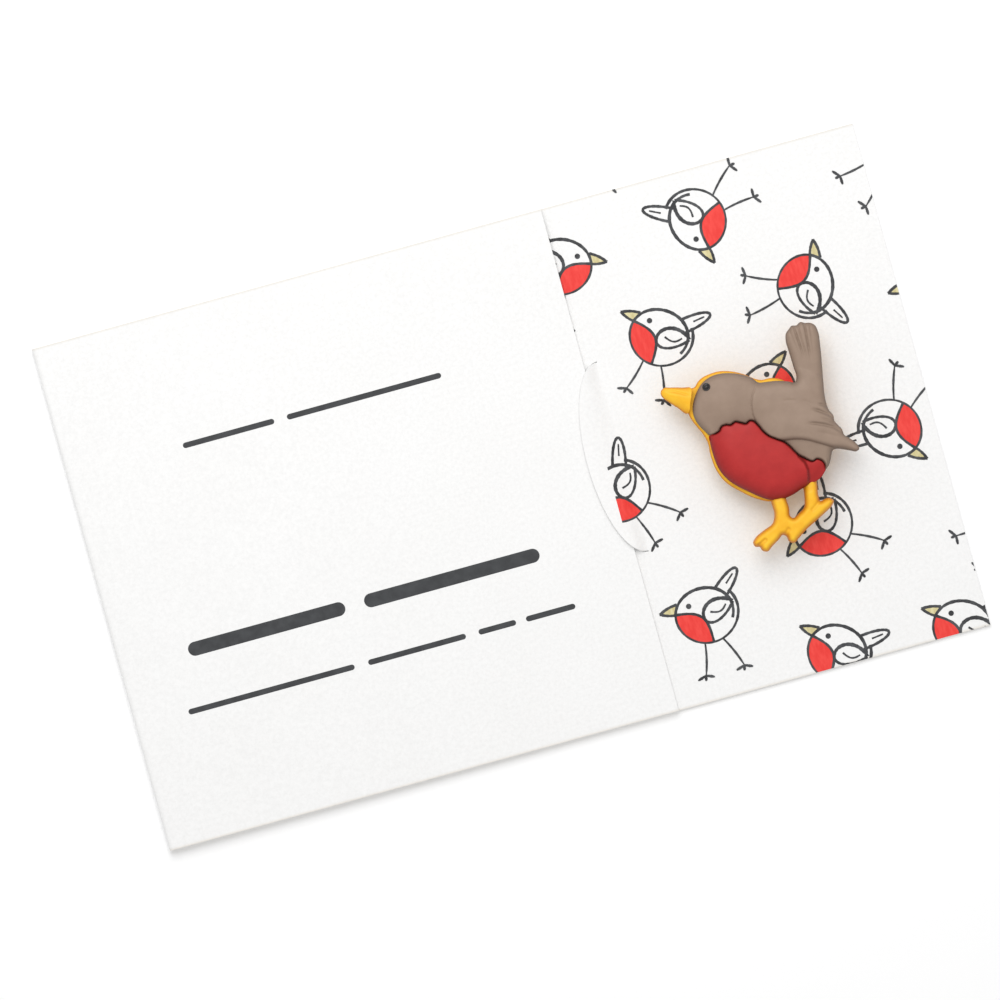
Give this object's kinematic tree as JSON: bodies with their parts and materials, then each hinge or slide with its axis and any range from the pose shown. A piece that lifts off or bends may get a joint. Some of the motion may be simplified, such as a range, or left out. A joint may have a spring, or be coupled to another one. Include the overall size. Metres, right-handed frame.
{
  "type": "button card",
  "caption": "Small folded card with a tucked cover and a slit locking tab, carrying a moulded bird-shaped shank button on its open strip.",
  "frame": {"origin": "under the middle of the card, on the surface it lies on", "axes": "+X along the card from its fold to its open end, +Y up the card's height, +Z out of the printed face"},
  "size_m": [0.09, 0.055, 0.0052],
  "materials": {
    "card_stock": "smooth uncoated white card with a printed strip",
    "clear_adhesive": "clear tacky dot",
    "yellow_plastic": "satin moulded",
    "taupe_plastic": "satin moulded",
    "red_plastic": "satin moulded",
    "black_plastic": "glossy bead"
  },
  "bodies": {
    "root": {"card": "card_stock", "glue_dot": "clear_adhesive", "button_base": "yellow_plastic", "bird_body": "taupe_plastic", "bird_breast": "red_plastic", "bird_eye": "black_plastic"}
  },
  "joints": []
}
